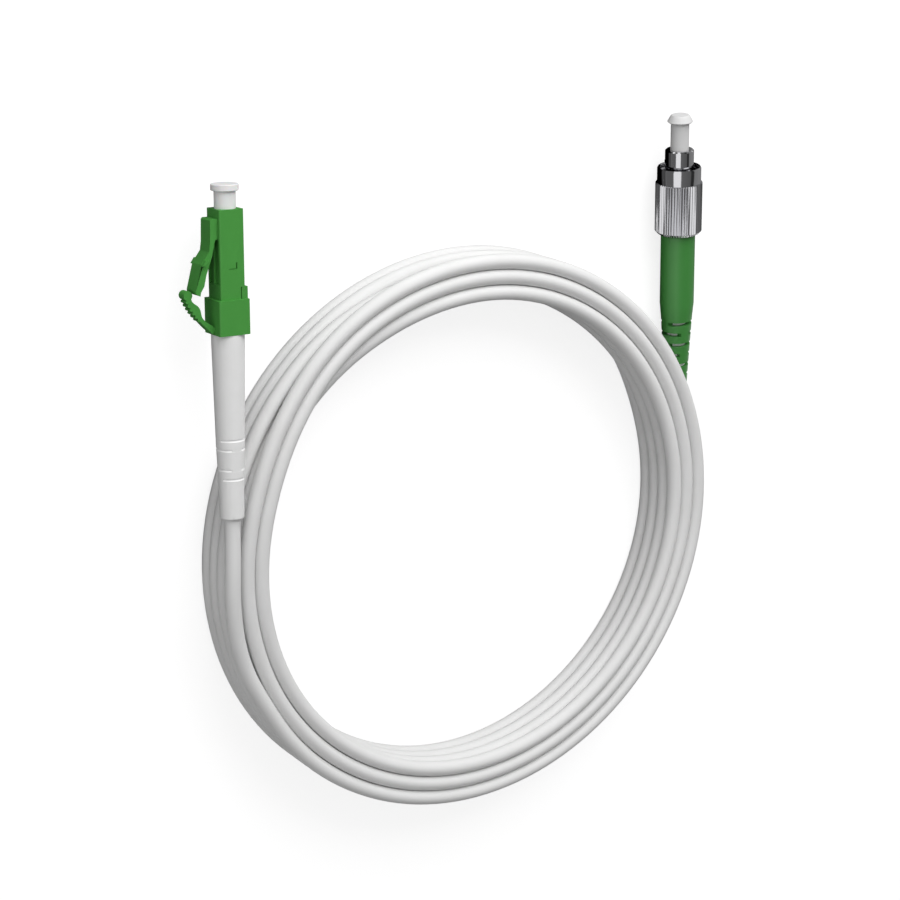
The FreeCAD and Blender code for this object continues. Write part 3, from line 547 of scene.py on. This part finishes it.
bm = spun(barrelProfile(), barrel["facets"])
keyBlock = bmesh.ops.create_cube(bm, size=1)["verts"]
bmesh.ops.scale(bm, vec=(barrel["keyWidth"], barrel["keyLength"], barrel["keyHeight"] + barrel["keyRoot"]),
                verts=keyBlock)
bmesh.ops.translate(bm, vec=(0, barrel["face"] - barrel["keySetBack"] - barrel["keyLength"] / 2,
                             (barrel["keyRoot"] - barrel["keyHeight"]) / 2 - barrel["barrel"]),
                    verts=keyBlock)
bm.transform(plugPlace("fc"))
keepEdges(addPiece(bm, "turned_barrel", "cable_and_plugs", "nickel_brass", replaced=("fc_barrel",)), 30)
print("nut and barrel turned")

# the core that shows in the boots' bend slots, mm, in a whiter white that paints a highlight there: in each
# slot of the square plug's boot it ramps up to the boot's own radius at the slot's rear edge
cores = {
    "lc": {"inner": 1.45, "outer": 1.7, "rear": 6.6, "front": 14.9,
           "slots": (7.2, 8.9, 12.4, 14.1), "width": 0.45,
           "drop": 0.24,                # from the ramp's top to its front edge
           "past": 0.01, "foot": 0.05,  # how far the ramp and its walls' feet reach past the slot
           "skin": ((6.0, 2.18), (12.6, 2.48), (30.8, 2.85))},
    "fc": {"inner": 1.45, "outer": 1.8, "rear": 3.9, "front": 15.8, "slots": ()},
}
coreFacets = 64


def skinAt(skin, station):
    # the boot's own radius, straight between its measured stations
    for (a, low), (b, high) in zip(skin, skin[1:]):
        if station <= b:
            return low + (high - low) * (station - a) / (b - a)
    return skin[-1][1]


def coreProfile(core):
    outside = [(core["outer"], core["rear"])]
    for station in core["slots"]:
        rear, front = station - core["width"] / 2, station + core["width"] / 2
        top = skinAt(core["skin"], station)
        outside += [(core["outer"], rear - core["foot"]), (top, rear - core["past"]),
                    (top - core["drop"], front + core["past"]), (core["outer"], front + core["foot"])]
    return outside + [(core["outer"], core["front"]), (core["inner"], core["front"]),
                      (core["inner"], core["rear"])]


for key, core in cores.items():
    bm = spun(coreProfile(core), coreFacets)
    bm.transform(plugPlace(key))
    # the cores take the whiter white, a painted highlight in the slots
    keepEdges(addPiece(bm, key + "_boot_core", "cable_and_plugs", "white_rubber", "painted_highlight_core"), 30)

# the thin web between the latch arm's root and the housing: it grows from the housing's side across the
# gap, mm, with the share of its thickness it would keep if squashed
web = {"side": -2.3, "gap": 0.3, "front": 52.1, "rear": 48.7, "width": 3.3, "edge": 0.1, "keep": 0.12}
bm = bmesh.new()
bmesh.ops.create_cube(bm, size=1)
bmesh.ops.scale(bm, vec=(web["gap"], web["front"] - web["rear"], web["width"]), verts=bm.verts)
bmesh.ops.translate(bm, vec=(web["side"] - web["gap"] / 2, (web["front"] + web["rear"]) / 2, 0),
                    verts=bm.verts)
uprights = [edge for edge in bm.edges if abs(edge.verts[0].co.x - edge.verts[1].co.x) > web["gap"] / 2]
bmesh.ops.bevel(bm, geom=uprights, offset=web["edge"], offset_type="OFFSET", segments=2, profile=0.5,
                affect="EDGES", material=-1)
place = plugPlace("lc")
bm.transform(place)
hinge = addPiece(bm, "hinge_web", "cable_and_plugs", "green_nylon")
keepEdges(hinge, 30)
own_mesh(hinge)

# fine thread in the nut's mouth, mm: one ridge's section, wound forwards from its first station
thread = {"root": 3.76, "crest": 3.52, "pitch": 0.75, "first": 41.8, "turns": 5, "land": 0.12,
          "gap": 0.02, "facets": 48}
foot = thread["pitch"] / 2 - thread["gap"]
land = thread["land"] / 2
bm = spun(((thread["root"], thread["first"] - foot), (thread["crest"], thread["first"] - land),
           (thread["crest"], thread["first"] + land), (thread["root"], thread["first"] + foot)),
          thread["facets"] * thread["turns"], math.tau * thread["turns"], thread["pitch"] * thread["turns"])
bm.transform(plugPlace("fc"))
keepEdges(addPiece(bm, "nut_thread", "coupling_nut", "nickel_brass"), 30)
print("boot cores and thread made")
